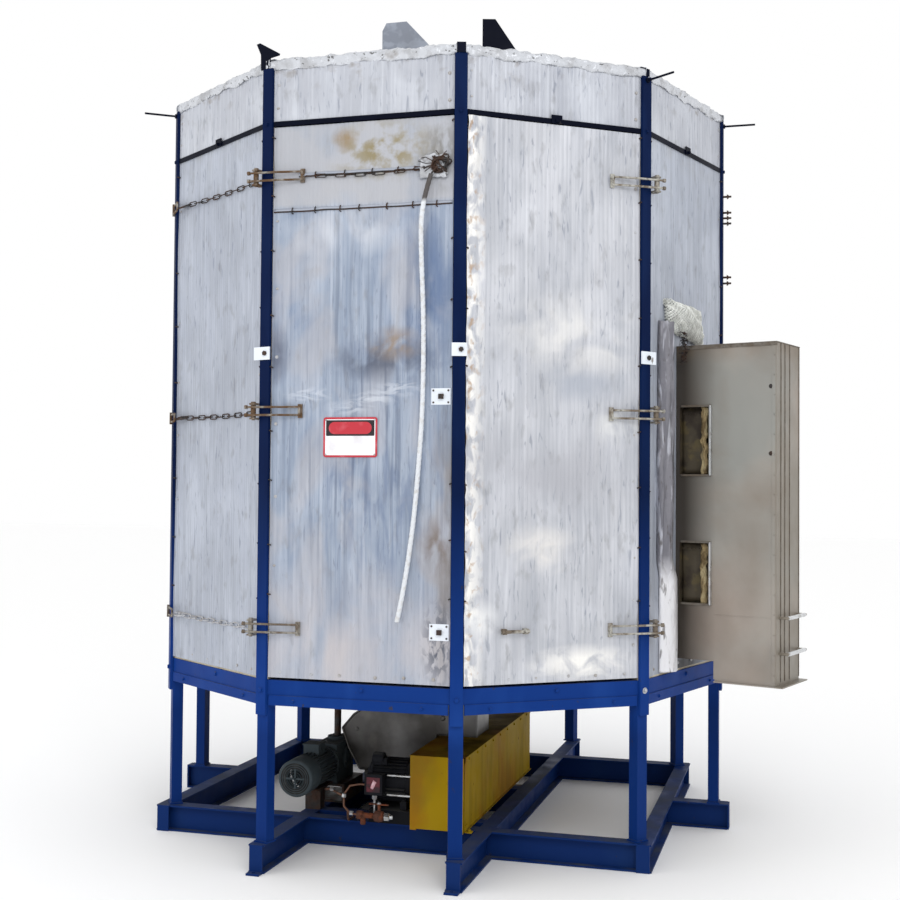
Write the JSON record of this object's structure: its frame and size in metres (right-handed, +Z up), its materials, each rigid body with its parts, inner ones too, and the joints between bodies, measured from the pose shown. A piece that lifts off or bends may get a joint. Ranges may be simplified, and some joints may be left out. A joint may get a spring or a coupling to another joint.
{
  "type": "kiln for pottery",
  "caption": "Ten-sided walk-in kiln on a welded beam base, with hinged clad doors, a side heater duct, a belt-driven fan and a chain-driven turntable under its floor.",
  "frame": {"origin": "on the kiln's upright axis, at the floor, on the underside of the middle cross beam", "axes": "+Z up; -Y is the front, the side of the left door; +X is to the right, the side of the heater duct"},
  "size_m": [3.4234, 2.952, 3.995],
  "materials": {
    "frame_blue": "satin royal blue paint, chipped at edges",
    "band_dark": "dark blue paint",
    "cladding": "ribbed, dented, stained in places",
    "foil": "crumpled foil",
    "mineral_wool": "yellow fibre",
    "inner_steel": "heat-stained sheet",
    "firebrick": "matte refractory",
    "plain_steel": "mill finish",
    "galvanised": "galvanised",
    "white_plate": "white paint",
    "strap_steel": "bare steel with rust",
    "chain_steel": "weathered steel",
    "sign_face": "printed colour fields with no lettering",
    "dark_wire": "black sleeved wire",
    "rope": "off-white rope",
    "duct_steel": "brown-grey heat-stained stainless",
    "mesh": "crumpled wire mesh over wool",
    "heater_element": "oxidised sheath",
    "guard_yellow": "mustard yellow paint",
    "motor_grey": "dark grey-green paint",
    "pulley_iron": "machined iron",
    "belt_rubber": "black rubber",
    "fan_plastic": "black moulded fan",
    "valve_brass": "tarnished"
  },
  "bodies": {
    "kiln_body": {"base_long_beams": "frame_blue", "base_cross_beams": "frame_blue", "beam_end_plates": "frame_blue", "legs": "frame_blue", "ring_beam": "frame_blue", "corner_posts": "frame_blue", "roof_lugs": "frame_blue", "gear_stand": "frame_blue", "band_bars": "band_dark", "wall_panels": "cladding", "fascia_panels": "cladding", "roof_flashing": "foil", "roof_skin": "foil", "foil_wrap": "foil", "wall_insulation": "mineral_wool", "duct_insulation": "mineral_wool", "inner_lining": "inner_steel", "inner_duct": "inner_steel", "floor_insulation": "firebrick", "floor_deck": "plain_steel", "roof_joists": "plain_steel", "bearings": "plain_steel", "vent_hood": "galvanised", "tie_rods": "galvanised", "splice_plates": "white_plate", "post_brackets": "strap_steel", "tie_chains": "chain_steel", "drive_chain": "chain_steel", "duct_casing": "duct_steel", "air_plenum": "duct_steel", "mesh_wrap": "mesh", "heater_bank": "heater_element", "belt_guard": "guard_yellow", "fan_motor": "motor_grey", "gearmotor": "motor_grey", "fan_housing": "motor_grey", "drive_belts": "belt_rubber", "drain_valve": "valve_brass"},
    "left_door": {"left_door_skins": "cladding", "left_door_insulation": "mineral_wool", "left_door_straps": "strap_steel", "latch_plates": "galvanised", "sign_plate": "sign_face", "wire_knot": "dark_wire", "pull_rope": "rope", "door_chain": "chain_steel"},
    "right_door": {"right_door_skins": "cladding", "right_door_insulation": "mineral_wool", "right_door_straps": "strap_steel", "door_handle": "strap_steel"},
    "upper_latch": {"upper_latch": "galvanised"},
    "lower_latch": {"lower_latch": "galvanised"},
    "fan_rotor": {"fan_wheel": "plain_steel", "driven_pulley": "pulley_iron"},
    "motor_rotor": {"drive_pulley": "pulley_iron"},
    "table": {"turntable": "plain_steel", "hearth_tiles": "firebrick", "table_shaft": "plain_steel"},
    "chain_driver": {"drive_sprocket": "plain_steel"},
    "motor_fan": {"cooling_fan": "fan_plastic"}
  },
  "joints": [
    {"name": "left_door_swing", "type": "hinge", "parent": "kiln_body", "child": "left_door", "pos_m": [-0.50632, -1.41268, 1.2], "axis": [0, 0, -1], "range_deg": [0, 95]},
    {"name": "right_door_swing", "type": "hinge", "parent": "kiln_body", "child": "right_door", "pos_m": [1.23998, -0.84527, 1.2], "axis": [0, 0, 1], "range_deg": [0, 90]},
    {"name": "upper_latch_turn", "type": "hinge", "parent": "left_door", "child": "upper_latch", "pos_m": [0.376, -1.395, 2.125], "axis": [0, -1, 0], "range_deg": [0, 90]},
    {"name": "lower_latch_turn", "type": "hinge", "parent": "left_door", "child": "lower_latch", "pos_m": [0.376, -1.395, 1.1], "axis": [0, -1, 0], "range_deg": [0, 90]},
    {"name": "fan_spin", "type": "hinge", "parent": "kiln_body", "child": "fan_rotor", "pos_m": [0, 0.25, 0.315], "axis": [1, 0, 0], "continuous": true},
    {"name": "motor_spin", "type": "hinge", "parent": "kiln_body", "child": "motor_rotor", "pos_m": [0, -0.8, 0.315], "axis": [1, 0, 0], "continuous": true},
    {"name": "table_spin", "type": "hinge", "parent": "kiln_body", "child": "table", "pos_m": [0, 0, 0.9], "axis": [0, 0, 1], "continuous": true},
    {"name": "sprocket_spin", "type": "hinge", "parent": "kiln_body", "child": "chain_driver", "pos_m": [-0.4572, -0.42, 0.7], "axis": [0, 0, 1], "continuous": true},
    {"name": "cooling_fan_spin", "type": "hinge", "parent": "kiln_body", "child": "motor_fan", "pos_m": [-0.4572, -0.88, 0.325], "axis": [0, 1, 0], "continuous": true}
  ],
  "couplings": [
    {"joint": "motor_spin", "follows": "fan_spin", "ratio": 1.4311},
    {"joint": "sprocket_spin", "follows": "table_spin", "ratio": 2},
    {"joint": "cooling_fan_spin", "follows": "table_spin", "ratio": 60}
  ]
}
